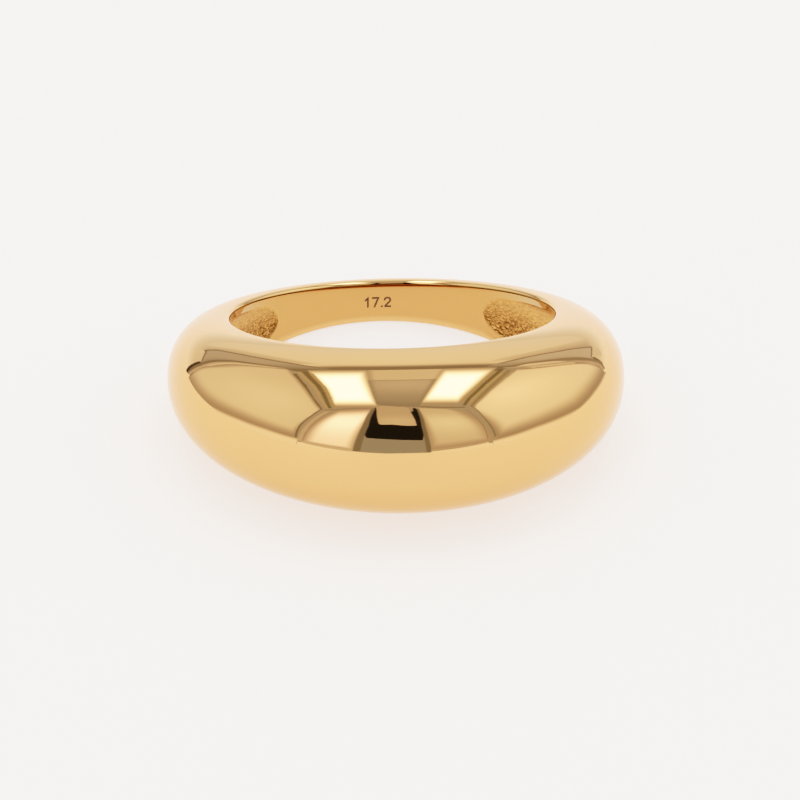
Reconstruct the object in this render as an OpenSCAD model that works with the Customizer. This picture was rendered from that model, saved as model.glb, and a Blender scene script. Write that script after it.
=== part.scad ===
// Dome ring: one piece of gold-coloured steel, cast, hollowed under the dome and polished.
// The finger hole's axis is Z and the dome's middle is towards -Y before the ring is laid down.
// The finished ring lies on its side as it rests by itself, on the plane Z = 0.

/* [Finger hole] */
// Diameter of the finger hole
bore_d = 17.2; // [14:0.1:22]
// Rounding where the finger hole meets each rim
edge_r = 0.2; // [0.1:0.05:0.4]

/* [Band at the back of the finger] */
// Thickness of the band at the back
back_t = 1.55; // [1.3:0.05:3]
// Width of the band at the back
back_w = 2.35; // [1.8:0.05:6]

/* [Dome] */
// Thickness of the dome at its middle
dome_t = 5.4; // [3.5:0.1:8]
// Width of the dome at its middle
dome_w = 8.6; // [6.5:0.1:14]
// How square the section is towards the crown, where 2 is an ellipse
crown_power = 2.5; // [2:0.05:3.5]
// How square the section is towards the rims, where 2 is an ellipse
rim_power = 2.15; // [2:0.05:3]

/* [Hollow under the dome] */
// Metal left between the hollow and the crown
wall_t = 1.5; // [1.1:0.05:2]
// Width of the plain border between the hollow and each rim
border_w = 0.55; // [0.4:0.05:0.9]
// How far the hollow reaches round on each side of the dome's middle, in degrees
hollow_reach = 140; // [100:1:150]
// Length of the hollow's rounded ends, measured round the finger hole
hollow_end = 1.4; // [0.8:0.1:2.5]
// Least depth of the hollow, where the band is thin
hollow_least = 0.4; // [0.2:0.05:0.8]

/* [Size number] */
// Height of the number on the inside of the band
digit_h = 0.5; // [0.4:0.05:0.9]
// Width of its strokes
stroke_w = 0.08; // [0.05:0.01:0.12]
// Depth of its strokes
stroke_d = 0.04; // [0.02:0.01:0.1]

/* [Hidden] */

gold = "#dcae62";
bore_r = bore_d / 2;

// Steps round the ring, across the outside of the section, and round each edge's rounding
ring_steps = 96;
section_steps = 22;
edge_angles = [112.5, 135, 157.5];
// Steps along the hollow, round its ends and across it
hollow_steps = 44;
end_steps = 5;
hollow_section_steps = 12;
hollow_power = 2.2;
// How far the tools that cut the inside reach past the wall that they cut
overcut = 0.15;

// The outside is a circle that is eccentric to the finger hole, thick at the dome and thin at the back
outer_r = bore_r + (dome_t + back_t) / 2;
outer_offset = (dome_t - back_t) / 2;
function thickness(th) =
    sqrt(pow(outer_r, 2) - pow(outer_offset * sin(th), 2)) + outer_offset * cos(th) - bore_r;

// Each rim lies in one plane, so the width falls off with the cosine of the angle from the dome
function half_width(th) = (back_w + (dome_w - back_w) * (1 + cos(th)) / 2) / 2;

// A point of a superellipse at the angle u, as shares of its depth and its half width
function squared(u, depth_power, width_power) =
    [pow(cos(u), 2 / depth_power), sign(u) * pow(abs(sin(u)), 2 / width_power)];

// One section of the ring as [distance from the axis, height], from the lower inner edge outwards
// and back to the upper one. Its two end points lie inside the finger hole, which cuts them off.
function section(th) =
    let (
        t = thickness(th),
        w = half_width(th),
        u_edge = acos(pow(edge_r / t, crown_power / 2)),
        w_edge = w * squared(u_edge, crown_power, rim_power)[1],
        inner = [for (a = edge_angles)
            [bore_r + edge_r * (1 + cos(a)), w_edge - edge_r * (1 - sin(a))]],
        inside = [bore_r - edge_r, w_edge - 1.5 * edge_r]
    )
    concat(
        [[inside[0], -inside[1]]],
        [for (i = [len(inner) - 1:-1:0]) [inner[i][0], -inner[i][1]]],
        [for (i = [0:section_steps])
            let (p = squared(u_edge * (2 * i / section_steps - 1), crown_power, rim_power))
            [bore_r + t * p[0], w * p[1]]],
        inner,
        [inside]
    );

// The hollow follows the dome at the wall's thickness, and narrows to a round end on each side
end_angle = hollow_end / bore_r * 180 / PI;
straight_reach = hollow_reach - end_angle;
// Stations along the hollow as [angle from the dome, share of its full depth and width]
hollow_stations = concat(
    [for (i = [end_steps:-1:1]) let (v = 90 * i / end_steps)
        [-straight_reach - end_angle * sin(v), cos(v)]],
    [for (i = [0:hollow_steps]) [straight_reach * (2 * i / hollow_steps - 1), 1]],
    [for (i = [1:end_steps]) let (v = 90 * i / end_steps)
        [straight_reach + end_angle * sin(v), cos(v)]]
);
function hollow_section(station) =
    let (
        depth = max(thickness(station[0]) - wall_t, hollow_least),
        w = half_width(station[0]) - border_w
    )
    [for (i = [0:hollow_section_steps])
        let (p = squared(180 * i / hollow_section_steps - 90, hollow_power, hollow_power))
        [bore_r - overcut + (depth + overcut) * p[0] * station[1], w * p[1] * station[1]]];

// A point of a section, set round the finger hole
function around(th, p) = [p[0] * sin(th), -p[0] * cos(th), p[1]];

// Two triangles for each patch between section i and section j of k points
function patch_rows(i, j, k) =
    [for (a = [0:k - 1]) let (b = (a + 1) % k)
        each [[i * k + a, i * k + b, j * k + b], [i * k + a, j * k + b, j * k + a]]];

// How the ring lies: the lowest point of the section at th when the dome's side is raised by a lean
function lowest(th, lean) = min([for (p = section(th)) p[1] * cos(lean) + p[0] * cos(th) * sin(lean)]);
// The lean at which the dome and the back of the band both touch the ground
function settled(lean, rounds) =
    rounds == 0 ? lean
    : settled(lean - (lowest(0, lean) - lowest(180, lean)) / (bore_d + back_t) * 180 / PI, rounds - 1);
lean = settled(0, 8);
lift = -min(lowest(0, lean), lowest(180, lean));
front = min([for (p = section(0)) p[1] * sin(lean) - p[0] * cos(lean)]);
back = max([for (p = section(180)) p[1] * sin(lean) + p[0] * cos(lean)]);

module lay_down()
    translate([0, -(front + back) / 2, lift]) rotate([-lean, 0, 0]) children();

module ring_body() {
    sections = [for (i = [0:ring_steps - 1]) let (th = 360 * i / ring_steps)
        [for (p = section(th)) around(th, p)]];
    k = len(sections[0]);
    polyhedron(
        points = [for (s = sections) each s],
        faces = [for (i = [0:ring_steps - 1]) each patch_rows(i, (i + 1) % ring_steps, k)],
        convexity = 6
    );
}

module hollow_cutter() {
    sections = [for (s = hollow_stations) [for (p = hollow_section(s)) around(s[0], p)]];
    k = len(sections[0]);
    n = len(sections);
    polyhedron(
        points = [for (s = sections) each s],
        faces = concat(
            [for (i = [1:n - 3]) each patch_rows(i, i + 1, k)],
            [for (a = [0:k - 1]) [k + a, 0, k + (a + 1) % k]],
            [for (a = [0:k - 1]) [(n - 2) * k + a, (n - 2) * k + (a + 1) % k, (n - 1) * k]]
        ),
        convexity = 6
    );
}

// Plain digits for the finger hole's diameter, each one line through points that are shares of its height
DIGITS = [
    ["0", [[0, 0.2], [0, 0.8], [0.15, 1], [0.45, 1], [0.6, 0.8], [0.6, 0.2], [0.45, 0], [0.15, 0], [0, 0.2]]],
    ["1", [[0.1, 0.75], [0.35, 1], [0.35, 0]]],
    ["2", [[0, 0.8], [0.15, 1], [0.45, 1], [0.6, 0.8], [0.6, 0.6], [0, 0], [0.6, 0]]],
    ["3", [[0, 1], [0.6, 1], [0.3, 0.6], [0.6, 0.4], [0.6, 0.2], [0.45, 0], [0.15, 0], [0, 0.2]]],
    ["4", [[0.45, 0], [0.45, 1], [0, 0.3], [0.6, 0.3]]],
    ["5", [[0.6, 1], [0.05, 1], [0, 0.55], [0.4, 0.6], [0.6, 0.4], [0.6, 0.2], [0.45, 0], [0, 0]]],
    ["6", [[0.5, 1], [0.2, 0.85], [0, 0.5], [0, 0.2], [0.15, 0], [0.45, 0], [0.6, 0.2], [0.6, 0.4],
        [0.45, 0.6], [0.15, 0.6], [0, 0.4]]],
    ["7", [[0, 1], [0.6, 1], [0.2, 0]]],
    ["8", [[0.15, 0.55], [0, 0.75], [0.15, 1], [0.45, 1], [0.6, 0.75], [0.45, 0.55], [0.15, 0.55],
        [0, 0.3], [0.15, 0], [0.45, 0], [0.6, 0.3], [0.45, 0.55]]],
    ["9", [[0.1, 0], [0.4, 0.15], [0.6, 0.5], [0.6, 0.8], [0.45, 1], [0.15, 1], [0, 0.8], [0, 0.6],
        [0.15, 0.4], [0.45, 0.4], [0.6, 0.6]]],
    [".", [[0.1, 0], [0.1, 0]]]
];
function digit_line(c) = [for (d = DIGITS) if (d[0] == c) d[1]][0];
// Widths as shares of the height: a digit with the gap after it, and the point with its gap
digit_pitch = 0.88;
point_pitch = 0.42;
digit_gap = 0.28;
function pitch(c) = c == "." ? point_pitch : digit_pitch;
function number_width(s, n) = n == 0 ? 0 : pitch(s[n - 1]) + number_width(s, n - 1);

module stroke(a, b) {
    run = b - a;
    translate(a * digit_h) rotate(atan2(run[1], run[0]))
        translate([-stroke_w / 2, -stroke_w / 2])
            square([norm(run) * digit_h + stroke_w, stroke_w]);
}

module digit(c) {
    line = digit_line(c);
    for (j = [1:len(line) - 1]) stroke(line[j - 1], line[j]);
}

module size_number() {
    s = str(bore_d);
    total = number_width(s, len(s)) - digit_gap;
    intersection() {
        cylinder(h = digit_h * 2, r = bore_r + stroke_d, center = true, $fn = ring_steps);
        translate([-total / 2 * digit_h, bore_r + stroke_d, -digit_h / 2])
            rotate([90, 0, 0])
                linear_extrude(digit_h)
                    for (i = [0:len(s) - 1])
                        translate([number_width(s, i) * digit_h, 0])
                            digit(s[i]);
    }
}

module dome_ring() {
    color(gold)
        lay_down()
            difference() {
                ring_body();
                cylinder(h = dome_w * 2, r = bore_r, center = true, $fn = ring_steps);
                hollow_cutter();
                size_number();
            }
}

dome_ring();
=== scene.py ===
import math

import bpy
import numpy as np
from mathutils import Matrix, Vector, noise


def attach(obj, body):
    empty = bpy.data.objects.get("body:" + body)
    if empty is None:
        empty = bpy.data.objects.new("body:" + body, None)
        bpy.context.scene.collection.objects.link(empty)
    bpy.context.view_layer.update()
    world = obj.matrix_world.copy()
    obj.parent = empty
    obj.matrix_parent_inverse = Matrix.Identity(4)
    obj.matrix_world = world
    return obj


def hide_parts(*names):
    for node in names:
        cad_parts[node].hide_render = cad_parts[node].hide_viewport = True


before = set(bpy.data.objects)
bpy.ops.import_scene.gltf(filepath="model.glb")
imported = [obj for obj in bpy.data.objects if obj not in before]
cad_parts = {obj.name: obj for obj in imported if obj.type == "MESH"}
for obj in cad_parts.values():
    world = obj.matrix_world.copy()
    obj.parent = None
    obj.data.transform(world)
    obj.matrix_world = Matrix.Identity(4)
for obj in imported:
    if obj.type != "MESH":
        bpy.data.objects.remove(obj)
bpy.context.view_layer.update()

# Dome ring. One piece of stainless steel, cast with a hollow under the dome to save metal, ground and
# polished to a mirror, then coated gold in a vacuum. The polishing wheel can't reach into the hollow, which
# keeps the wrinkled skin of the casting.

# Sizes are in millimetres. In the ring's own axes the finger hole's axis is Z and the dome is towards -Y.
MM = 0.001
BORE_R = 8.6
EDGE_R = 0.2
BACK_THICKNESS, BACK_WIDTH = 1.55, 2.35
DOME_THICKNESS, DOME_WIDTH = 5.4, 8.6
# How square the section is towards the crown and towards the rims, where 2 is an ellipse
CROWN_POWER, RIM_POWER = 2.5, 2.15

OUTER_R = BORE_R + (DOME_THICKNESS + BACK_THICKNESS) / 2
OUTER_OFFSET = (DOME_THICKNESS - BACK_THICKNESS) / 2


def thickness(angle):
    """Thickness of the metal at an angle from the dome's middle. The outside is a circle off centre."""
    return np.sqrt(OUTER_R**2 - (OUTER_OFFSET * np.sin(angle)) ** 2) + OUTER_OFFSET * np.cos(angle) - BORE_R


def half_width(angle):
    """Half the band's width. Each rim lies in one plane."""
    return (BACK_WIDTH + (DOME_WIDTH - BACK_WIDTH) * (1 + np.cos(angle)) / 2) / 2


def squared(turn, depth_power, width_power):
    """A point of a superellipse as shares of its depth and its half width."""
    return np.cos(turn) ** (2 / depth_power), np.sign(turn) * np.abs(np.sin(turn)) ** (2 / width_power)


def rising(x, low, high):
    """A smooth step from 0 at low to 1 at high."""
    share = np.clip((x - low) / (high - low), 0, 1)
    return share * share * (3 - 2 * share)


# The hollow: the metal left over it, the plain border beside it, how square its section is and how far that
# reaches out of the wall into the finger hole
WALL = 1.5
BORDER = 0.55
HOLLOW_POWER = 2.2
HOLLOW_OVERCUT = 0.15
# Its least depth, the length of its round ends, and how far round it reaches from the dome's middle
HOLLOW_LEAST = 0.4
HOLLOW_END_LENGTH = 1.4
HOLLOW_REACH = math.radians(140)

HOLLOW_END = HOLLOW_END_LENGTH / BORE_R
HOLLOW_STRAIGHT = HOLLOW_REACH - HOLLOW_END


def hollow_size(angle):
    """The hollow's full depth, its half width and the share of both that its round ends leave."""
    depth = np.maximum(thickness(angle) - WALL, HOLLOW_LEAST) + HOLLOW_OVERCUT
    into_end = np.clip((np.abs(angle) - HOLLOW_STRAIGHT) / HOLLOW_END, 0, 1)
    return depth, half_width(angle) - BORDER, np.sqrt(1 - into_end**2)


# Stations round the ring: under the dome, along the sides, round the hollow's ends and along the back. They
# are closest where the hollow's rough ends show through the finger hole.
DOME_STEPS, SIDE_STEPS, END_STEPS, BACK_STEPS = 74, 84, 26, 30
CLOSE_FROM = math.radians(92)
# How far the back's first station lies past the hollow, and how far round its end the hollow meets the wall
PAST_END = 0.004
end_turn = math.acos(HOLLOW_OVERCUT / (HOLLOW_LEAST + HOLLOW_OVERCUT))
half_stations = np.concatenate([
    np.linspace(0, CLOSE_FROM, DOME_STEPS, endpoint=False),
    np.linspace(CLOSE_FROM, HOLLOW_STRAIGHT, SIDE_STEPS, endpoint=False),
    HOLLOW_STRAIGHT + HOLLOW_END * np.sin(np.linspace(0, end_turn, END_STEPS)),
    np.linspace(HOLLOW_STRAIGHT + HOLLOW_END * math.sin(end_turn) + PAST_END, math.pi, BACK_STEPS),
])
stations = np.concatenate([-half_stations[:0:-1], half_stations[:-1]])[:, None]
from_dome = np.abs(stations)

# The mop rounds off the hollow's mouth under the dome, and less and less of it where the hollow runs out
RUN_OUT_FROM, RUN_OUT_TO = math.radians(88), math.radians(132)
MOUTH_SOFTNESS, LEAST_SOFTNESS = 0.045, 0.003
run_out = rising(from_dome, RUN_OUT_FROM, RUN_OUT_TO)


def softened(depth):
    """Depth under the polished wall, which passes softly into 0 where the depth is negative."""
    softness = MOUTH_SOFTNESS * (1 - run_out) + LEAST_SOFTNESS
    return 0.5 * (depth + np.sqrt(depth**2 + 4 * softness**2))


# A section's outside, from its lower edge to its upper one, and the rounding of the upper rim
OUTER_STEPS, RIM_STEPS, BORDER_STEPS, HOLLOW_STEPS = 60, 5, 6, 124
metal, half = thickness(stations), half_width(stations)
outer_turn = np.arccos((EDGE_R / metal) ** (CROWN_POWER / 2))
outer_depth, outer_width = squared(
    outer_turn * np.linspace(-1, 1, OUTER_STEPS + 1), CROWN_POWER, RIM_POWER)
outer_r, outer_z = BORE_R + metal * outer_depth, half * outer_width

edge_z = half * squared(outer_turn, CROWN_POWER, RIM_POWER)[1]
rim_turn = np.linspace(math.pi / 2, math.pi, RIM_STEPS + 1)[1:]
rim_r = BORE_R + EDGE_R * (1 + np.cos(rim_turn)) + 0 * stations
rim_z = edge_z - EDGE_R * (1 - np.sin(rim_turn))
wall_z = edge_z - EDGE_R

# The hollow's section, and its mouth in the wall of the finger hole
TINY = 1e-6
depth, reach, share = hollow_size(stations)
cut = np.minimum(HOLLOW_OVERCUT / (depth * np.maximum(share, TINY)), 1)
mouth = reach * share * (1 - cut**HOLLOW_POWER) ** (1 / HOLLOW_POWER)
is_open = mouth > TINY
mouth_turn = np.arccos(np.clip(cut, 0, 1) ** (HOLLOW_POWER / 2))
hollow_depth, hollow_width = squared(
    mouth_turn * np.linspace(1, -1, HOLLOW_STEPS + 1), HOLLOW_POWER, HOLLOW_POWER)
hollow_z = np.where(is_open, reach * share * hollow_width, 0)
hollow_deep = np.where(is_open, depth * share * hollow_depth - HOLLOW_OVERCUT, 0)

# The plain border beside the hollow, whose points lie closer together towards the hollow
BORDER_CROWDING = 1.4
fall = np.linspace(0, 1, BORDER_STEPS + 1)[1:-1] ** BORDER_CROWDING
border_z = mouth + (wall_z - mouth) * fall

# The hollow's outline on the unrolled wall, and in how many parts the distances from it are worked out
OUTLINE_PARTS = 40
outline = np.concatenate([
    np.stack([BORE_R * stations[is_open], side * mouth[is_open]], -1) for side in (1, -1)
])


def away(z):
    """The distance of the wall's points from the hollow's outline, counted negative as a depth."""
    x = BORE_R * stations + 0 * z
    points = np.stack([x.ravel(), z.ravel()], -1)
    near = np.concatenate([
        np.sqrt(((part[:, None] - outline[None]) ** 2).sum(-1)).min(1)
        for part in np.array_split(points, OUTLINE_PARTS)
    ])
    return -near.reshape(x.shape)


# Towards its ends the hollow runs out in a shallow dish, which starts so softly that its edge hardly shows
DISH_DEPTH, DISH_SLOPE = 0.07, 0.8
from_outline = -away(hollow_z)
dish = DISH_DEPTH * rising(from_outline, 0, DISH_SLOPE)
hollow_deep = np.where(is_open, hollow_deep * (1 - run_out) + dish * run_out, -from_outline)
hollow_r = BORE_R + softened(hollow_deep)
border_r = BORE_R + softened(away(border_z))

section_r = np.concatenate([
    outer_r, rim_r, border_r[:, ::-1], hollow_r, border_r, rim_r[:, ::-1],
], 1)
section_z = np.concatenate([
    outer_z, rim_z, border_z[:, ::-1], hollow_z, -border_z, -rim_z[:, ::-1],
], 1)
hollow_from = outer_r.shape[1] + rim_r.shape[1] + border_r.shape[1]
hollow_to = hollow_from + hollow_r.shape[1]

# The casting's skin: wrinkles that run round the ring, with folds between them. They slant, and wander from
# their places by a share of their size.
WRINKLE_LENGTH, WRINKLE_SPACING = 0.26, 0.105
WRINKLE_SLANT = 0.3
WRINKLE_HEIGHT = 0.06
WANDER, WANDER_RATE = 0.5, 0.7
FOLD_STEEPNESS = 1.7

# Without a seed the noise would start from the clock, and the wrinkles would lie elsewhere at each run
WANDER_SEED = 17
noise.seed_set(WANDER_SEED)


def cast_relief(along, z):
    """Height of the skin, from 0 in the folds to 1, at a place in millimetres round the hole and across."""
    p = Vector((along / WRINKLE_LENGTH, (z - WRINKLE_SLANT * abs(along)) / WRINKLE_SPACING, 0))
    p += WANDER * noise.noise_vector(p * WANDER_RATE)
    near = noise.voronoi(p, distance_metric="DISTANCE")[0]
    return min((near[1] - near[0]) * FOLD_STEEPNESS, 1)


# How rough the skin is: least on the hollow's sides, more under the dome, and most in the hollow's ends,
# where it is worn above one height and fully rough below another. It sets in over a strip at the outline.
SKIN_STRIP = 0.12
SIDE_SKIN, DOME_SKIN, END_SKIN = 0.1, 0.3, 0.9
DOME_SKIN_TO, DOME_SKIN_FULL = math.radians(84), math.radians(62)
END_SKIN_FROM, END_SKIN_FULL = math.radians(98), math.radians(124)
WORN_ABOVE, ROUGH_BELOW = 1.1, -0.7
WORN_SHARE = 0.2
FAINTEST = 0.002

under_dome = rising(-from_dome, -DOME_SKIN_TO, -DOME_SKIN_FULL)
in_ends = rising(from_dome, END_SKIN_FROM, END_SKIN_FULL)
rough_share = WORN_SHARE + (1 - WORN_SHARE) * rising(-section_z, -WORN_ABOVE, -ROUGH_BELOW)
skin = np.zeros_like(section_r)
skin[:, hollow_from:hollow_to] = np.where(is_open, rising(from_outline, 0.0, SKIN_STRIP), 0)
skin *= SIDE_SKIN + DOME_SKIN * under_dome + END_SKIN * in_ends * rough_share
relief = np.ones_like(skin)
for i, j in np.argwhere(skin > FAINTEST):
    relief[i, j] = cast_relief(BORE_R * stations[i, 0], section_z[i, j])
section_r = section_r + WRINKLE_HEIGHT * skin * (1 - relief)

# Shares for the polished gold's colour: the inside of the ring, a fine line on the upper inner edge where a
# dark reflection is painted, and how far the inside's painted warm reflection has set in, which rises
# towards the back
WARM_REFLECTION_FROM, WARM_REFLECTION_FULL = math.radians(108), math.radians(140)
inside = np.zeros_like(skin)
inside[:, outer_r.shape[1] + RIM_STEPS - 1:-RIM_STEPS] = 1
# The painted dark reflection: one row of points in the upper rim's rounding, next to the finger hole
painted_edge_reflection = np.zeros_like(skin)
painted_edge_reflection[:, outer_r.shape[1] + RIM_STEPS - 2] = 1
# The inside's painted warm reflection, which sets in towards the back
painted_warm_reflection = rising(from_dome, WARM_REFLECTION_FROM, WARM_REFLECTION_FULL) + 0 * skin

# The ring comes to rest on its side, where the dome and the back of the band both touch the floor. Sections
# are the dome's middle one (1) and the back's (-1).
SETTLING_ROUNDS = 8
sections = {s: (section_r[k], section_z[k]) for s, k in ((1, len(stations) // 2), (-1, 0))}


def lowest(side, tilt):
    """The lowest point of one of the two sections when the dome is raised by a tilt."""
    r, z = sections[side]
    return (z * math.cos(tilt) + side * r * math.sin(tilt)).min()


lean = 0.0
for _ in range(SETTLING_ROUNDS):
    lean -= (lowest(1, lean) - lowest(-1, lean)) / (2 * BORE_R + BACK_THICKNESS)
lift = -min(lowest(1, lean), lowest(-1, lean))
front = (sections[1][1] * math.sin(lean) - sections[1][0] * math.cos(lean)).min()
back = (sections[-1][1] * math.sin(lean) + sections[-1][0] * math.cos(lean)).max()
lay_down = (
    Matrix.Translation(Vector((0, -(front + back) / 2, lift)) * MM)
    @ Matrix.Rotation(-lean, 4, "X")
    @ Matrix.Scale(MM, 4)
)


def lie(points):
    """Points in the ring's own axes, in millimetres, moved to where it lies, in metres."""
    m = np.array(lay_down)
    return points @ m[:3, :3].T + m[:3, 3]


ring_points = np.stack([section_r * np.sin(stations), -section_r * np.cos(stations), section_z], -1)
n_stations, n_section = section_r.shape
own = np.arange(n_stations * n_section).reshape(n_stations, n_section)
after, beside = np.roll(own, -1, 0), np.roll(own, -1, 1)
diagonal = np.roll(after, -1, 1)
quads = np.stack([own, beside, diagonal, after], -1)

# Past the hollow's ends its points fall together, and those that round to the same place become one
SAME_TO_DECIMALS = 5
place, keep = np.unique(
    np.round(ring_points.reshape(-1, 3), SAME_TO_DECIMALS), axis=0, return_inverse=True)
keep = keep.ravel()
first = np.zeros(len(place), int)
first[keep[::-1]] = np.arange(len(keep))[::-1]
in_hollow = np.zeros_like(own, bool)
in_hollow[:, hollow_from - 1:hollow_to] = np.broadcast_to(
    is_open, (n_stations, hollow_to - hollow_from + 1))

faces, face_slots = [], []
for quad, hollow in zip(quads.reshape(-1, 4), in_hollow.ravel()):
    corners = list(dict.fromkeys(keep[quad].tolist()))
    if len(corners) > 2:
        faces.append(corners)
        face_slots.append(int(hollow))

ring_mesh = bpy.data.meshes.new("dome_ring_polished")
ring_mesh.from_pydata(lie(ring_points.reshape(-1, 3)[first]).tolist(), [], faces)
ring_mesh.polygons.foreach_set("material_index", face_slots)
ring_mesh.polygons.foreach_set("use_smooth", [True] * len(faces))
for name, values in (("cast_skin", skin), ("cast_relief", relief), ("painted_warm_reflection", painted_warm_reflection), ("inside", inside),
                     ("painted_edge_reflection", painted_edge_reflection)):
    ring_mesh.attributes.new(name, "FLOAT", "POINT").data.foreach_set(
        "value", values.reshape(-1)[first].astype(np.float32))
round_and_across = np.stack([BORE_R * stations + 0 * section_z, section_z, 0 * section_z], -1) * MM
ring_mesh.attributes.new("cast_place", "FLOAT_VECTOR", "POINT").data.foreach_set(
    "vector", round_and_across.reshape(-1, 3)[first].astype(np.float32).ravel())
ring = bpy.data.objects.new("dome_ring_polished", ring_mesh)
bpy.context.collection.objects.link(ring)


def linear(hex_colour):
    """An sRGB hex colour as linear RGBA."""
    channels = [int(hex_colour[i:i + 2], 16) / 255 for i in (1, 3, 5)]
    return [c / 12.92 if c <= 0.04045 else ((c + 0.055) / 1.055) ** 2.4 for c in channels] + [1.0]


def new_material(name):
    """A material with a Principled shader, and that shader."""
    material = bpy.data.materials.new(name)
    material.use_nodes = True
    return material, material.node_tree.nodes["Principled BSDF"]


def add(material, kind, links=(), **settings):
    """A new node, with links given as (input, socket). A setting is the node's own, or in_ with the name or
    the number of an input. A Mix node's two colours are its inputs 6 and 7."""
    node = material.node_tree.nodes.new(kind)
    for key, value in settings.items():
        if key.startswith("in_"):
            key = key[3:]
            node.inputs[int(key) if key.isdigit() else key.replace("_", " ")].default_value = value
        else:
            setattr(node, key, value)
    for key, socket in links:
        material.node_tree.links.new(socket, node.inputs[key])
    return node


def per_mm(spacing):
    """Scale for a noise on coordinates in metres whose features lie this many millimetres apart."""
    return 1 / (spacing * MM)


# Mirror-polished steel under PVD gold, which is so thin that it keeps the polish: a clean mirror, with the
# soft waviness that hand polishing leaves and a haze of hairlines. Those are too fine to see one by one, so
# the haze is drawn coarser than they are. Inside the finger hole the gold is painted paler at the sides and
# warmer towards the back: painted reflection of the light that the inside mirrors. A fine line on the upper
# inner edge is painted darker still: a painted dark reflection.
GOLD = "#edc28e"
# Painted reflection inside the finger hole: paler gold at the sides, warmer gold towards the back
PALE_REFLECTION_GOLD, WARM_REFLECTION_GOLD = "#d8bd92", "#daad77"
# Painted dark reflection on the upper inner edge
DARK_EDGE_REFLECTION = "#a38c5a"
POLISH_WAVES, WAVE_HEIGHT = 3.5, 0.02
HAIRLINES = 0.12
MIRROR_ROUGHNESS, HAZE_ROUGHNESS = 0.03, 0.06

polished, polished_shader = new_material("polished_pvd_gold_steel")
polished_shader.inputs["Metallic"].default_value = 1
inner_share = add(polished, "ShaderNodeAttribute", attribute_name="inside")
warm_reflection_share = add(polished, "ShaderNodeAttribute", attribute_name="painted_warm_reflection")
edge_reflection_share = add(polished, "ShaderNodeAttribute", attribute_name="painted_edge_reflection")
# The inside's painted reflection: paler at the sides, warmer towards the back
painted_inside_reflection = add(polished, "ShaderNodeMix", [("Factor", warm_reflection_share.outputs["Fac"])], data_type="RGBA",
                   in_6=linear(PALE_REFLECTION_GOLD), in_7=linear(WARM_REFLECTION_GOLD))
gold_colour = add(polished, "ShaderNodeMix",
                  [("Factor", inner_share.outputs["Fac"]), (7, painted_inside_reflection.outputs[2])],
                  data_type="RGBA", in_6=linear(GOLD))
# A painted dark reflection along the upper inner edge
gold_with_edge_reflection = add(polished, "ShaderNodeMix",
                  [("Factor", edge_reflection_share.outputs["Fac"]), (6, gold_colour.outputs[2])],
                  data_type="RGBA", in_7=linear(DARK_EDGE_REFLECTION))
polished.node_tree.links.new(gold_with_edge_reflection.outputs[2], polished_shader.inputs["Base Color"])
where = add(polished, "ShaderNodeTexCoord")
waves = add(polished, "ShaderNodeTexNoise", [("Vector", where.outputs["Object"])],
            in_Scale=per_mm(POLISH_WAVES), in_Detail=1.0)
wavy = add(polished, "ShaderNodeBump", [("Height", waves.outputs["Fac"])],
           in_Strength=0.05, in_Distance=WAVE_HEIGHT * MM)
polished.node_tree.links.new(wavy.outputs["Normal"], polished_shader.inputs["Normal"])
haze = add(polished, "ShaderNodeTexNoise", [("Vector", where.outputs["Object"])],
           in_Scale=per_mm(HAIRLINES), in_Detail=3.0)
gloss = add(polished, "ShaderNodeMapRange", [("Value", haze.outputs["Fac"])],
            in_To_Min=MIRROR_ROUGHNESS, in_To_Max=HAZE_ROUGHNESS)
polished.node_tree.links.new(gloss.outputs["Result"], polished_shader.inputs["Roughness"])

# As-cast steel under the same coating: the skin that the mould leaves, matt and wrinkled, with painted shade
# in its folds and painted light on the wrinkles' tops. The mould's real grit is finer, and is drawn as
# coarse as it needs to show, stretched round the ring as the wrinkles are.
FOLD_SHADE_BROWN, LIT_TOP_GOLD, SMOOTH_GOLD = "#6a3b0c", "#fcce8c", "#dfb377"
GRIT, GRIT_HEIGHT = 0.09, 0.035
GRIT_STRETCH = (0.5, 1, 1)
SMOOTH_ROUGHNESS, SKIN_ROUGHNESS = 0.3, 0.5
# Heights of the relief and the grit together at which the colour is the folds' painted shade and the open
# skin's painted light
IN_FOLD, IN_OPEN = 0.42, 1.04

as_cast, cast_shader = new_material("as_cast_pvd_gold_steel")
cast_shader.inputs["Metallic"].default_value = 1
skin_height = add(as_cast, "ShaderNodeAttribute", attribute_name="cast_relief")
skin_share = add(as_cast, "ShaderNodeAttribute", attribute_name="cast_skin")
cast_place = add(as_cast, "ShaderNodeAttribute", attribute_name="cast_place")
grit_place = add(as_cast, "ShaderNodeMapping", [("Vector", cast_place.outputs["Vector"])],
                 in_Scale=GRIT_STRETCH)
grit = add(as_cast, "ShaderNodeTexNoise", [("Vector", grit_place.outputs["Vector"])],
           in_Scale=per_mm(GRIT), in_Detail=3.0)
gritty_height = add(as_cast, "ShaderNodeMath", [(0, grit.outputs["Fac"]), (1, skin_height.outputs["Fac"])],
                    operation="ADD")
open_light = add(as_cast, "ShaderNodeMapRange", [("Value", gritty_height.outputs["Value"])],
                 in_From_Min=IN_FOLD, in_From_Max=IN_OPEN)
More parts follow.
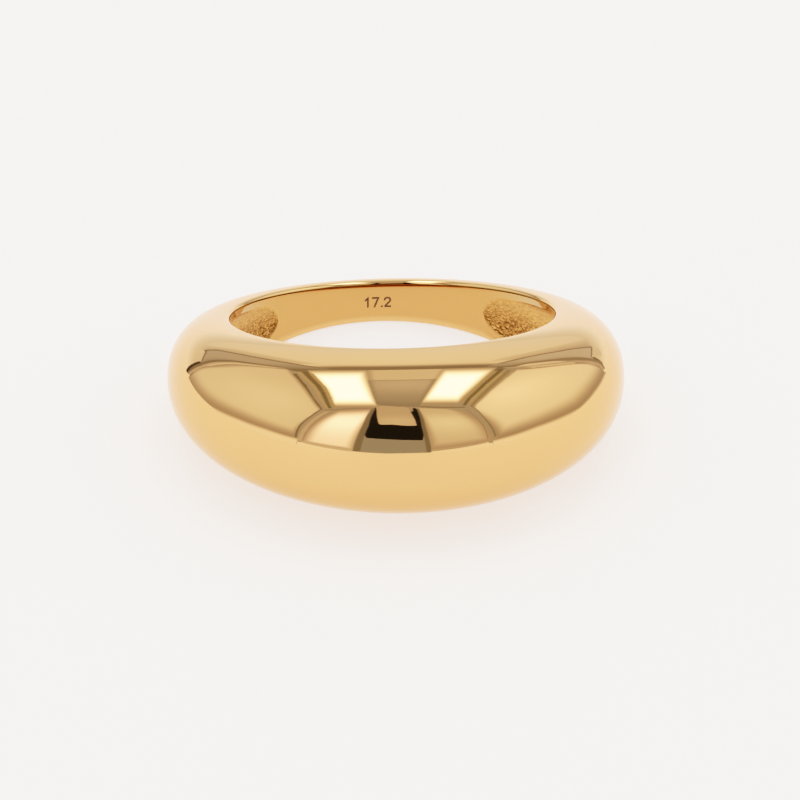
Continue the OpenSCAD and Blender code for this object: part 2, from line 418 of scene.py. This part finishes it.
# Painted shade in the folds, painted light on the wrinkles' tops
painted_fold_shade = add(as_cast, "ShaderNodeMix", [("Factor", open_light.outputs["Result"])], data_type="RGBA",
                  in_6=linear(FOLD_SHADE_BROWN), in_7=linear(LIT_TOP_GOLD))
skin_colour = add(as_cast, "ShaderNodeMix",
                  [("Factor", skin_share.outputs["Fac"]), (7, painted_fold_shade.outputs[2])],
                  data_type="RGBA", in_6=linear(SMOOTH_GOLD))
as_cast.node_tree.links.new(skin_colour.outputs[2], cast_shader.inputs["Base Color"])
matt = add(as_cast, "ShaderNodeMapRange", [("Value", skin_share.outputs["Fac"])],
           in_To_Min=SMOOTH_ROUGHNESS, in_To_Max=SKIN_ROUGHNESS)
as_cast.node_tree.links.new(matt.outputs["Result"], cast_shader.inputs["Roughness"])
worn_height = add(as_cast, "ShaderNodeMath",
                  [(0, gritty_height.outputs["Value"]), (1, skin_share.outputs["Fac"])],
                  operation="MULTIPLY")
gritty = add(as_cast, "ShaderNodeBump", [("Height", worn_height.outputs["Value"])],
             in_Strength=0.8, in_Distance=GRIT_HEIGHT * MM)
as_cast.node_tree.links.new(gritty.outputs["Normal"], cast_shader.inputs["Normal"])

ring_mesh.materials.append(polished)
ring_mesh.materials.append(as_cast)
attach(ring, "root")
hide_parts("dome_ring")

# Size number: the finger hole's diameter in millimetres, burnt into the inside of the band with a laser. The
# laser leaves the steel under the coating dull and grey-brown, a few hundredths of a millimetre deep.
DIGIT_HEIGHT = 0.5
STROKE = 0.09
# The stroke's face stands a hair proud of the wall, so that it shows, and its sides reach into the metal
NUMBER_PROUD, NUMBER_DEEP = 0.004, 0.03
# Each digit is one line through places that are shares of its height, and so are the widths below
NUMBER_LINES = {
    "1": [(0.1, 0.75), (0.35, 1), (0.35, 0)],
    "7": [(0, 1), (0.6, 1), (0.2, 0)],
    "2": [(0, 0.78), (0.06, 0.93), (0.2, 1), (0.4, 1), (0.54, 0.93), (0.6, 0.78), (0.56, 0.6), (0.06, 0.06),
          (0.06, 0), (0.6, 0)],
    ".": [(0.09, 0), (0.11, 0)],
}
DIGIT_PITCH, POINT_PITCH = 0.88, 0.42
DIGIT_GAP = 0.28

number_points, number_faces = [], []


def mark_line(line):
    """A flat stroke of the laser along a line of points in millimetres, bent round the finger hole."""
    line = np.array(line, float)
    runs = np.diff(line, axis=0)
    runs /= np.linalg.norm(runs, axis=1, keepdims=True)
    line[0] -= runs[0] * STROKE / 2
    line[-1] += runs[-1] * STROKE / 2
    normals = np.stack([-runs[:, 1], runs[:, 0]], -1)
    mitres = np.concatenate([normals[:1], normals[:-1] + normals[1:], normals[-1:]])
    mitres /= (mitres * np.concatenate([normals[:1], normals])).sum(1, keepdims=True)
    start = len(number_points)
    for point, mitre in zip(line, mitres):
        for side, r in ((1, -NUMBER_PROUD), (-1, -NUMBER_PROUD), (-1, NUMBER_DEEP), (1, NUMBER_DEEP)):
            x, z = point + side * mitre * STROKE / 2
            turn = x / BORE_R
            number_points.append(((BORE_R + r) * math.sin(turn), (BORE_R + r) * math.cos(turn), z))
    for i in range(len(line) - 1):
        a, b = start + 4 * i, start + 4 * i + 4
        number_faces.extend([a + k, a + (k + 1) % 4, b + (k + 1) % 4, b + k] for k in range(4))
    last = start + 4 * (len(line) - 1)
    number_faces.append([start + 3, start + 2, start + 1, start])
    number_faces.append([last, last + 1, last + 2, last + 3])


def pitch(character):
    """Width of a digit or of the point, with the gap after it."""
    return POINT_PITCH if character == "." else DIGIT_PITCH


number = str(2 * BORE_R)
at = -(sum(pitch(c) for c in number) - DIGIT_GAP) / 2
for c in number:
    mark_line([((at + x) * DIGIT_HEIGHT, (z - 0.5) * DIGIT_HEIGHT) for x, z in NUMBER_LINES[c]])
    at += pitch(c)

number_mesh = bpy.data.meshes.new("size_number")
number_mesh.from_pydata(lie(np.array(number_points)).tolist(), [], number_faces)
size_number = bpy.data.objects.new("size_number", number_mesh)
bpy.context.collection.objects.link(size_number)

# Laser-marked steel: melted and oxidised, so that it looks dull and half metallic beside the polish, and
# mottled by the laser's pulses. Those are finer than this, and are drawn as coarse as they need to show.
BURNT_DARK, BURNT_PALE = "#6f5546", "#a08068"
PULSES = 0.08
burnt, burnt_shader = new_material("laser_marked_steel")
burnt_shader.inputs["Metallic"].default_value = 0.5
burnt_shader.inputs["Roughness"].default_value = 0.55
burnt_where = add(burnt, "ShaderNodeTexCoord")
burns = add(burnt, "ShaderNodeTexNoise", [("Vector", burnt_where.outputs["Object"])],
            in_Scale=per_mm(PULSES), in_Detail=2.0)
burn_colour = add(burnt, "ShaderNodeMix", [("Factor", burns.outputs["Fac"])], data_type="RGBA",
                  in_6=linear(BURNT_DARK), in_7=linear(BURNT_PALE))
burnt.node_tree.links.new(burn_colour.outputs[2], burnt_shader.inputs["Base Color"])
number_mesh.materials.append(burnt)
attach(size_number, "root")

# Floor: a cast sheet of white acrylic with a sanded top, laid flat and lit a little from below, as under
# small shiny things. The ring mirrors only the part close to it. The sheet further out, a hair lower, is
# only looked at: what the ring mirrors there is the tent's cloth, which hangs over it.
FLOOR_HALF = 1.5
NEAR_FLOOR_HALF_WIDTH = 0.06
FLOOR_UNDER = 0.0005

# Matt acrylic: pale grey with a soft sheen and no image of the ring, and a faint warm glow of its own
ACRYLIC_GREY, ACRYLIC_GLOW = "#a4a4a4", "#fff7f1"
acrylic, acrylic_shader = new_material("matt_white_acrylic")
acrylic_shader.inputs["Base Color"].default_value = linear(ACRYLIC_GREY)
acrylic_shader.inputs["Roughness"].default_value = 0.7
acrylic_shader.inputs["Emission Color"].default_value = linear(ACRYLIC_GLOW)
acrylic_shader.inputs["Emission Strength"].default_value = 0.78

floors = []
for name, half_side, z in (("floor", NEAR_FLOOR_HALF_WIDTH, 0), ("floor_beyond", FLOOR_HALF, -FLOOR_UNDER)):
    corners = [(x * half_side, y * FLOOR_HALF, z) for x, y in ((-1, -1), (1, -1), (1, 1), (-1, 1))]
    floor_mesh = bpy.data.meshes.new(name)
    floor_mesh.from_pydata(corners, [], [(0, 1, 2, 3)])
    floor_mesh.materials.append(acrylic)
    floors.append(bpy.data.objects.new(name, floor_mesh))
    bpy.context.collection.objects.link(floors[-1])
floor_beyond = floors[1]
floor_beyond.visible_glossy = False
floor_beyond.visible_diffuse = False
floor_beyond.visible_shadow = False

# Light tent: a box of white cloth on a frame of tubes, lit from outside by two lamps over its roof and one
# beside the camera, with a slit in front for the lens. The ring mirrors all of it. Places on a wall are
# shares of its distance from the ring: across it, then up, or for the roof across and towards the camera.
TENT_TURN = math.radians(-5.8)
ROOF, SIDE, FRONT, REAR = 2.4, 1.25, 1.0, 2.52
# How much nearer to the ring each layer of cloth lies than the one behind it
LAYER_STEP = 0.01
# The glow of the frame and of bare edges, and tints of the light as shares of red, green and blue
FRAME_GLOW = 0.55
WHITE, WARM, COOL, COLD = (1, 1, 1), (1, 1, 0.86), (0.96, 1.02, 1.08), (0.93, 1.06, 1.2)
ROSY = (1.02, 0.98, 1.04)
SHEET = (1.03, 1, 1)
WALLS = {
    "front": lambda u, v: (FRONT * u, -FRONT, FRONT * v),
    "left": lambda u, v: (-SIDE, -SIDE * u, SIDE * v),
    "right": lambda u, v: (SIDE, -SIDE * u, SIDE * v),
    "rear": lambda u, v: (REAR * u, REAR, REAR * v),
    "roof": lambda u, v: (ROOF * u, -ROOF * v, ROOF),
}
tent_points, tent_faces, tent_glow = [], [], []


def hang(wall, u, v, layer):
    """A place on a wall, in metres, with the tent turned a little against the ring."""
    x, y, z = (c * (1 - LAYER_STEP * layer) for c in WALLS[wall](u, v))
    turn_cos, turn_sin = math.cos(TENT_TURN), math.sin(TENT_TURN)
    return x * turn_cos - y * turn_sin, x * turn_sin + y * turn_cos, z


def tent_panel(wall, columns, glow, layer=0, tint=WHITE, soft=0.0, edge=FRAME_GLOW, hot=None, step=0.03,
               turned=False):
    """Cloth between a lower and an upper edge, given as (across, low, high), which fades to the glow of its
    edge over the width soft, one for all or for the start, the low edge, the end and the high edge. hot is
    the lamp behind it as (across, up, spread, extra glow). A turned panel swaps across and up."""
    widths = np.broadcast_to(soft, 4)
    columns = np.array(columns, float)
    n_u = max(round(np.ptp(columns[:, 0]) / step), 2)
    across = np.linspace(columns[0, 0], columns[-1, 0], n_u + 1)
    low, high = (np.interp(across, columns[:, 0], columns[:, k]) for k in (1, 2))
    n_v = max(round((high - low).max() / step), 2)
    start = len(tent_points)
    for u, v0, v1 in zip(across, low, high):
        for v in np.linspace(v0, v1, n_v + 1):
            tent_points.append(hang(wall, v, u, layer) if turned else hang(wall, u, v, layer))
            gaps = (u - across[0], v - v0, across[-1] - u, v1 - v)
            share = min([max(gap / width, 0) for gap, width in zip(gaps, widths) if width] + [1])
            lamp = hot[3] * math.exp(-((u - hot[0]) ** 2 + (v - hot[1]) ** 2) / hot[2] ** 2) if hot else 0
            level = edge + (glow + lamp - edge) * share * share * (3 - 2 * share)
            tent_glow.append([level * c for c in tint] + [1])
    for i in range(n_u):
        for j in range(n_v):
            a = start + i * (n_v + 1) + j
            tent_faces.append((a, a + 1, a + n_v + 2, a + n_v + 1))


def tent_seam(wall, line, width, glow, layer=3, tint=WHITE):
    """A strip of doubled cloth or a tube of the frame, along a line of places on a wall."""
    line = np.array(line, float)
    run = np.gradient(line, axis=0)
    run /= np.linalg.norm(run, axis=1, keepdims=True)
    start = len(tent_points)
    for (u, v), (du, dv) in zip(line, run):
        for side in (-0.5, 0.5):
            tent_points.append(hang(wall, u - side * width * dv, v + side * width * du, layer))
            tent_glow.append([glow * c for c in tint] + [1])
    for i in range(len(line) - 1):
        a = start + 2 * i
        tent_faces.append((a, a + 1, a + 3, a + 2))


# Side walls
tent_panel("left", [
    (-1.9, 1.8, 1.87), (-1.64, 1.3, 1.87), (-1.4, 0.9, 1.86), (-1.05, 0.47, 1.84), (-0.95, 0.25, 1.83),
    (-0.88, 0.06, 1.82), (-0.8, -0.1, 1.81), (-0.5, -0.11, 1.77), (-0.3, -0.095, 1.73),
    (-0.15, -0.055, 1.69), (0.12, 0.02, 1.61), (0.42, 0.065, 1.5), (0.65, 0.09, 1.43), (0.74, 0.1, 1.0),
    (0.83, 0.11, 0.4)
], glow=0.92, soft=(0.2, 0.3, 0.13, 0.13), edge=0.52, hot=(0, 0.8, 0.8, 0.15))
tent_panel("right", [
    (-1.55, 1.63, 1.7), (-1.34, 1.36, 1.72), (-1.22, 1.08, 1.74), (-1.15, 0.88, 1.74),
    (-1.06, 0.45, 1.74), (-0.99, 0.1, 1.74), (-0.92, -0.07, 1.76), (-0.5, -0.05, 1.74),
    (-0.2, -0.07, 1.72), (0.12, 0.01, 1.66), (0.46, 0.06, 1.6), (0.6, 0.07, 1.51), (0.73, 0.08, 1.0),
    (0.82, 0.08, 0.33)
], glow=1.08, soft=(0.2, 0.36, 0.25, 0.13), edge=0.5, hot=(-0.15, 1.2, 0.7, 0.25))
# Front flaps beside the slit
tent_panel("front", [
    (-1.05, 0.04, 2.1), (-0.6, 0.03, 2.3), (-0.47, 0.03, 2.4), (-0.4, 0.02, 1.8), (-0.36, 0.02, 0.9),
    (-0.34, 0.02, 0.5)
], glow=1.3, tint=ROSY, soft=(0.26, 0.08, 0.12, 1.0), hot=(-0.62, 1.0, 0.6, 0.8))
tent_panel("front", [
    (0.3, 0.06, 0.7), (0.32, 0.06, 1.5), (0.38, 0.06, 2.55), (0.9, 0.07, 2.3), (1.15, 0.07, 1.8)
], glow=0.8, soft=(0.1, 0.2, 0.3, 0.2), hot=(0.62, 0.95, 0.5, 0.28))
# The slit: the dark behind it, a lower flap, a card that hangs over the lens, and the flaps' turned edges
tent_panel("front", [
    (-0.44, 2.0, 2.6), (-0.36, 1.1, 2.4), (-0.32, 0.7, 2.3), (-0.28, 0.36, 1.9), (0.25, 0.29, 1.9),
    (0.28, 0.7, 2.65), (0.33, 2.0, 2.3)
], glow=0.045, layer=1)
tent_panel("front", [(-0.31, 0.0, 0.38), (0.29, 0.0, 0.31)], glow=0.47, layer=2, tint=COLD)
tent_panel("front", [
    (-0.46, 2.8, 3.0), (-0.36, 2.1, 3.0), (-0.26, 1.32, 3.0), (-0.19, 0.87, 3.0), (-0.04, 0.88, 2.95),
    (0.08, 0.83, 2.9), (0.2, 0.82, 2.4), (0.215, 0.84, 1.1)
], glow=0.66, layer=2, hot=(0, 1.05, 0.35, 0.14))
tent_seam("front", [
    (-0.44, 2.3), (-0.37, 1.3), (-0.33, 0.8), (-0.325, 0.4), (-0.33, 0.0)
], width=0.07, glow=0.34, tint=COOL)
tent_seam("front", [
    (0.35, 2.3), (0.31, 1.3), (0.285, 0.8), (0.28, 0.4), (0.29, 0.0)
], width=0.045, glow=0.32, tint=COOL)
# Roof: the two lamps' light on the cloth, with a dim flap between them and the paler cloth behind it
tent_panel("roof", [(-0.15, -0.97, 0.3), (0.165, -0.97, 0.3)], glow=0.84, layer=1, soft=0.03)
tent_panel("roof", [
    (-0.98, -0.425, -0.145), (-0.19, -0.43, -0.145), (0.06, -0.46, -0.145), (0.37, -0.53, -0.145)
], glow=3.6, layer=2, soft=(0.5, 0.065, 0.33, 0.07), step=0.015, turned=True)
tent_panel("roof", [
    (-0.98, 0.152, 0.425), (0.05, 0.152, 0.435), (0.28, 0.152, 0.45)
], glow=3.6, layer=2, soft=(0.5, 0.05, 0.33, 0.09), step=0.015, turned=True)
tent_panel("roof", [
    (-0.155, -0.49, 0.3), (0.0, -0.49, 0.36), (0.155, -0.5, 0.37)
], glow=0.47, layer=3, tint=COOL, soft=(0.01, 0.02, 0.01, 0.2), edge=0.42, hot=(0.02, -0.35, 0.36, 0.24))
# The frame's tubes beside the lamps, between pale edges of cloth
for side, inner, tube, pale, outer in (
    (-1, [
        (-0.42, -0.8), (-0.42, -0.26), (-0.44, -0.07), (-0.48, 0.18), (-0.52, 0.38)
    ], [
        (-0.45, -0.88), (-0.45, -0.33), (-0.47, -0.1), (-0.51, 0.12), (-0.58, 0.42)
    ], [
        (-0.485, -0.9), (-0.485, -0.33), (-0.51, -0.1), (-0.55, 0.08), (-0.61, 0.42)
    ], [
        (-0.53, -0.8), (-0.545, -0.49), (-0.55, -0.34), (-0.585, -0.11), (-0.625, 0.08), (-0.66, 0.28),
        (-0.7, 0.46)
    ]),
    (1, [
        (0.43, -0.8), (0.435, -0.48), (0.44, -0.25), (0.445, -0.07), (0.45, 0.11), (0.46, 0.23)
    ], [
        (0.47, -0.9), (0.47, -0.48), (0.47, -0.32), (0.48, -0.13), (0.49, 0.11), (0.53, 0.33)
    ], [
        (0.5, -0.7), (0.5, -0.32), (0.51, -0.1), (0.53, 0.11), (0.55, 0.23)
    ], [
        (0.535, -0.85), (0.54, -0.49), (0.55, -0.23), (0.565, -0.02), (0.59, 0.2), (0.62, 0.36)
    ]),
):
    tent_seam("roof", inner, width=0.03, glow=0.56, tint=WARM)
    tent_seam("roof", tube, width=0.035, glow=0.31, layer=4, tint=WARM)
    tent_seam("roof", pale, width=0.025, glow=0.62, layer=4, tint=WARM)
    tent_seam("roof", outer, width=0.035, glow=0.37 + 0.07 * side, layer=4, tint=WARM)
# Rear wall, brighter low down, and its dark line under the roof
tent_panel("rear", [(-2.6, -0.6, 1.0), (2.6, -0.6, 1.0)], glow=0.86, layer=-1, hot=(0, 0.55, 0.6, 0.2))
tent_panel("rear", [
    (-2.6, -0.45, 0.15), (2.6, -0.45, 0.15)
], glow=1.2, layer=0, soft=(0.5, 0.1, 0.5, 0.2), edge=0.9)
tent_panel("rear", [
    (-0.55, 0.79, 1.3), (-0.36, 0.77, 1.3), (-0.2, 0.72, 1.3), (0.2, 0.74, 1.3), (0.4, 0.77, 1.3),
    (0.55, 0.79, 1.3)
], glow=0.36, layer=1, soft=(0, 0.17, 0, 0), edge=1.0)
# The frame's rear corners, which show brown, the rear wall's shade beside them, and the seams round them
tent_panel("rear", [
    (-1.0, 0.27, 0.29), (-0.86, 0.27, 0.4), (-0.78, 0.265, 0.46), (-0.645, 0.255, 0.59),
    (-0.568, 0.24, 0.756), (-0.513, 0.22, 0.92), (-0.43, 0.28, 0.95), (-0.39, 0.4, 0.96),
    (-0.37, 0.52, 0.97), (-0.35, 0.65, 0.98), (-0.335, 0.77, 0.99), (-0.3, 0.9, 1.0)
], glow=0.62, layer=2, tint=COOL, soft=(0, 0, 0, 0.32), edge=0.45)
tent_panel("rear", [
    (0.345, 0.83, 0.98), (0.36, 0.62, 0.98), (0.385, 0.53, 0.98), (0.425, 0.45, 0.98), (0.46, 0.36, 0.97),
    (0.5, 0.28, 0.92), (0.54, 0.17, 0.85), (0.65, 0.21, 0.69), (0.78, 0.24, 0.6), (0.95, 0.26, 0.5)
], glow=0.72, layer=2, tint=COOL, soft=(0, 0, 0, 0.32), edge=0.5)
tent_panel("rear", [
    (0.15, -0.53, -0.4), (0.21, -0.51, -0.38), (0.29, -0.42, -0.3), (0.4, -0.39, -0.28),
    (0.52, -0.37, -0.27), (0.65, -0.35, -0.26), (0.72, -0.34, -0.25)
], glow=0.68, layer=1, soft=(0.08, 0, 0.1, 0.12), edge=0.86, turned=True)
tent_panel("rear", [
    (0.13, 0.36, 0.55), (0.19, 0.35, 0.53), (0.29, 0.33, 0.5), (0.36, 0.3, 0.46), (0.45, 0.28, 0.425),
    (0.53, 0.26, 0.385), (0.62, 0.25, 0.36), (0.72, 0.25, 0.35)
], glow=0.68, layer=1, soft=(0.08, 0.14, 0.1, 0), edge=0.86, turned=True)
tent_seam("rear", [
    (-0.53, 0.2), (-0.43, 0.28), (-0.39, 0.4), (-0.37, 0.52), (-0.35, 0.65), (-0.335, 0.77), (-0.31, 0.92)
], width=0.03, glow=0.4)
tent_seam("rear", [
    (0.54, 0.17), (0.5, 0.28), (0.46, 0.36), (0.425, 0.45), (0.385, 0.53), (0.36, 0.62), (0.345, 0.83)
], width=0.03, glow=0.42)
tent_seam("rear", [(0.54, 0.17), (0.65, 0.21), (0.78, 0.25)], width=0.02, glow=0.4)
tent_seam("left", [
    (-0.85, -0.05), (-0.94, 0.1), (-1.05, 0.29), (-1.32, 0.59), (-1.6, 0.92), (-1.81, 1.33), (-2.0, 1.79)
], width=0.13, glow=0.36)
tent_seam("left", [
    (-0.85, -0.05), (-0.9, 0.1), (-0.99, 0.29), (-1.17, 0.5), (-1.52, 0.91), (-1.73, 1.31), (-1.95, 1.79)
], width=0.06, glow=0.68, layer=4)
tent_seam("right", [
    (-2.2, 2.12), (-1.86, 1.5), (-1.5, 0.92), (-1.22, 0.44), (-1.06, 0.09), (-0.95, -0.02)
], width=0.13, glow=0.42)
tent_seam("right", [
    (-2.0, 2.12), (-1.5, 1.42), (-1.28, 0.93), (-1.13, 0.46), (-1.02, 0.09), (-0.94, -0.02)
], width=0.07, glow=0.66, layer=4)
# Dark gaps where the floor's cloth ends in both rear corners, and a pale fold beside the right one
tent_seam("left", [
    (-0.92, -0.08), (-1.0, 0.03), (-1.06, 0.16), (-1.14, 0.3)
], width=0.13, glow=0.13, layer=2)
tent_seam("rear", [
    (-0.98, 0.27), (-0.86, 0.255), (-0.78, 0.26), (-0.645, 0.25), (-0.568, 0.235), (-0.513, 0.215)
], width=0.02, glow=0.36)
tent_panel("right", [
    (-1.29, 0.27, 0.32), (-1.18, 0.12, 0.24), (-1.1, 0.02, 0.15), (-0.98, -0.02, 0.03)
], glow=0.3, layer=2)
tent_panel("rear", [(0.55, 0.12, 0.17), (0.62, 0.06, 0.2), (0.74, 0.05, 0.23)], glow=0.86, layer=2)
# Front corners
tent_seam("left", [
    (0.65, 1.43), (0.7, 1.2), (0.74, 1.0), (0.77, 0.73), (0.79, 0.5), (0.84, 0.2), (0.87, 0.03)
], width=0.03, glow=0.3)
tent_seam("front", [
    (-1.22, 1.9), (-1.16, 1.2), (-1.12, 0.76), (-1.08, 0.3), (-1.06, 0.03)
], width=0.09, glow=0.7, layer=2)
tent_seam("front", [
    (-1.16, 1.9), (-1.1, 1.2), (-1.06, 0.76), (-1.03, 0.3), (-1.01, 0.05)
], width=0.018, glow=0.45)
tent_seam("right", [
    (0.58, 1.6), (0.61, 1.43), (0.73, 1.0), (0.78, 0.75), (0.81, 0.5), (0.84, 0.15)
], width=0.025, glow=0.36)
tent_seam("front", [
    (1.3, 2.1), (1.2, 1.5), (1.13, 0.95), (1.08, 0.55), (1.03, 0.15)
], width=0.02, glow=0.42)
# The cloth that the tent stands on, turned up along the side walls, and the front wall's hems
tent_panel("left", [
    (-1.4, -0.25, -0.12), (-0.95, -0.25, -0.12), (-0.5, -0.25, -0.11), (-0.3, -0.25, -0.095),
    (-0.15, -0.25, -0.05), (0.12, -0.25, 0.03), (0.45, -0.25, 0.085), (0.9, -0.25, 0.1)
], glow=1.2, layer=4, tint=SHEET, soft=(0, 0, 0, 0.09), edge=0.52)
tent_panel("right", [
    (-1.4, -0.25, -0.22), (-1.0, -0.25, -0.2), (-0.9, -0.25, -0.06), (-0.5, -0.25, -0.04),
    (-0.2, -0.25, -0.06), (0.12, -0.25, 0.02), (0.3, -0.25, 0.06), (0.9, -0.25, 0.08)
], glow=1.2, layer=4, tint=SHEET, soft=(0, 0, 0, 0.09), edge=0.5)
tent_panel("front", [(-1.1, -0.15, -0.01), (1.1, -0.15, -0.01)], glow=1.2, layer=3, tint=SHEET)
tent_seam("front", [(-1.03, 0.02), (-0.37, 0.01)], width=0.06, glow=0.76, layer=4)
tent_seam("front", [(0.31, 0.04), (1.03, 0.06)], width=0.06, glow=0.62, layer=4)
tent_panel("front", [(0.31, -0.12, 0.015), (1.03, -0.12, 0.035)], glow=1.2, layer=4, tint=SHEET)
# Where the roof meets the front wall
tent_seam("roof", [(-0.68, 0.5), (-0.49, 0.45), (-0.34, 0.415), (-0.2, 0.41)], width=0.04, glow=0.45)
tent_seam("roof", [(0.16, 0.36), (0.33, 0.39), (0.57, 0.39)], width=0.04, glow=0.38)

tent_mesh = bpy.data.meshes.new("light_tent")
tent_mesh.from_pydata(tent_points, [], tent_faces)
tent_mesh.attributes.new("glow", "FLOAT_COLOR", "POINT").data.foreach_set("color", np.ravel(tent_glow))
tent = bpy.data.objects.new("light_tent", tent_mesh)
bpy.context.collection.objects.link(tent)
tent.visible_camera = False

# Thin woven polyester with lamps behind it: what the ring mirrors is its soft glow alone, since the weave is
# far too fine to be seen in the metal
cloth = bpy.data.materials.new("lit_tent_cloth")
cloth.use_nodes = True
cloth.cycles.emission_sampling = "NONE"
cloth.node_tree.nodes.clear()
cloth_glow = add(cloth, "ShaderNodeAttribute", attribute_name="glow")
cloth_light = add(cloth, "ShaderNodeEmission", [("Color", cloth_glow.outputs["Color"])], in_Strength=1.0)
add(cloth, "ShaderNodeOutputMaterial", [("Surface", cloth_light.outputs["Emission"])])
tent_mesh.materials.append(cloth)

# The tent's frame, which glows dimly in every gap that the cloth leaves
world = bpy.data.worlds.new("tent_frame")
world.use_nodes = True
world.node_tree.nodes["Background"].inputs["Color"].default_value = (*COOL, 1)
world.node_tree.nodes["Background"].inputs["Strength"].default_value = FRAME_GLOW
bpy.context.scene.world = world

# Camera: a long lens through the tent's slit, looking down on the ring at the photograph's angle. Its
# directions are in the ring's own axes, a little to the ring's left and above it, and its distance from the
# finger hole's centre is in millimetres. The places in the picture are pixels from the top left.
CAMERA_TURN, CAMERA_DROP = math.radians(5.4), math.radians(22.06)
CAMERA_DISTANCE = 400
PIXELS_PER_MM = 18.85
FRAME_PIXELS = 800
HOLE_CENTRE_AT = (392.4, 361.6)
SENSOR_WIDTH = 36
NEAREST, FARTHEST = 0.01, 10

right = Vector((math.cos(CAMERA_TURN), -math.sin(CAMERA_TURN), 0))
ahead = Vector((
    math.sin(CAMERA_TURN) * math.cos(CAMERA_DROP),
    math.cos(CAMERA_TURN) * math.cos(CAMERA_DROP),
    -math.sin(CAMERA_DROP),
))
up = right.cross(ahead)
to_floor = lay_down.to_3x3().normalized()
hole_centre = lay_down.translation
camera_place = hole_centre - to_floor @ ahead * CAMERA_DISTANCE * MM
middle = hole_centre + to_floor @ (
    right * (FRAME_PIXELS / 2 - HOLE_CENTRE_AT[0]) - up * (FRAME_PIXELS / 2 - HOLE_CENTRE_AT[1])
) * MM / PIXELS_PER_MM
look = (middle - camera_place).normalized()
sideways = look.cross(to_floor @ up).normalized()
camera_axes = Matrix((sideways, sideways.cross(look), -look)).transposed().to_4x4()

camera_data = bpy.data.cameras.new("camera")
camera_data.sensor_width = SENSOR_WIDTH
camera_data.lens = PIXELS_PER_MM * CAMERA_DISTANCE / FRAME_PIXELS * camera_data.sensor_width
camera_data.clip_start = NEAREST
camera_data.clip_end = FARTHEST
camera = bpy.data.objects.new("camera", camera_data)
camera.matrix_world = Matrix.Translation(camera_place) @ camera_axes
bpy.context.collection.objects.link(camera)
bpy.context.scene.camera = camera

# The photograph's contrast: deep darks, and highlights that roll off to white. Each pair is a light and the
# brightness that it gets, on the curve for all colours together.
CONTRAST = [(0.02, 0.005), (0.06, 0.0217), (0.15, 0.1015), (0.3, 0.264), (0.6, 0.579), (0.96, 0.817),
            (1.2, 0.915), (1.7, 0.97)]
WHITE_AT = 3.0
ALL_COLOURS = 3
exposure = bpy.context.scene.view_settings
exposure.view_transform = "Standard"
exposure.use_curve_mapping = True
exposure.curve_mapping.white_level = (WHITE_AT,) * 3
exposure.curve_mapping.extend = "HORIZONTAL"
for light, brightness in CONTRAST:
    exposure.curve_mapping.curves[ALL_COLOURS].points.new(light / WHITE_AT, brightness)
exposure.curve_mapping.update()
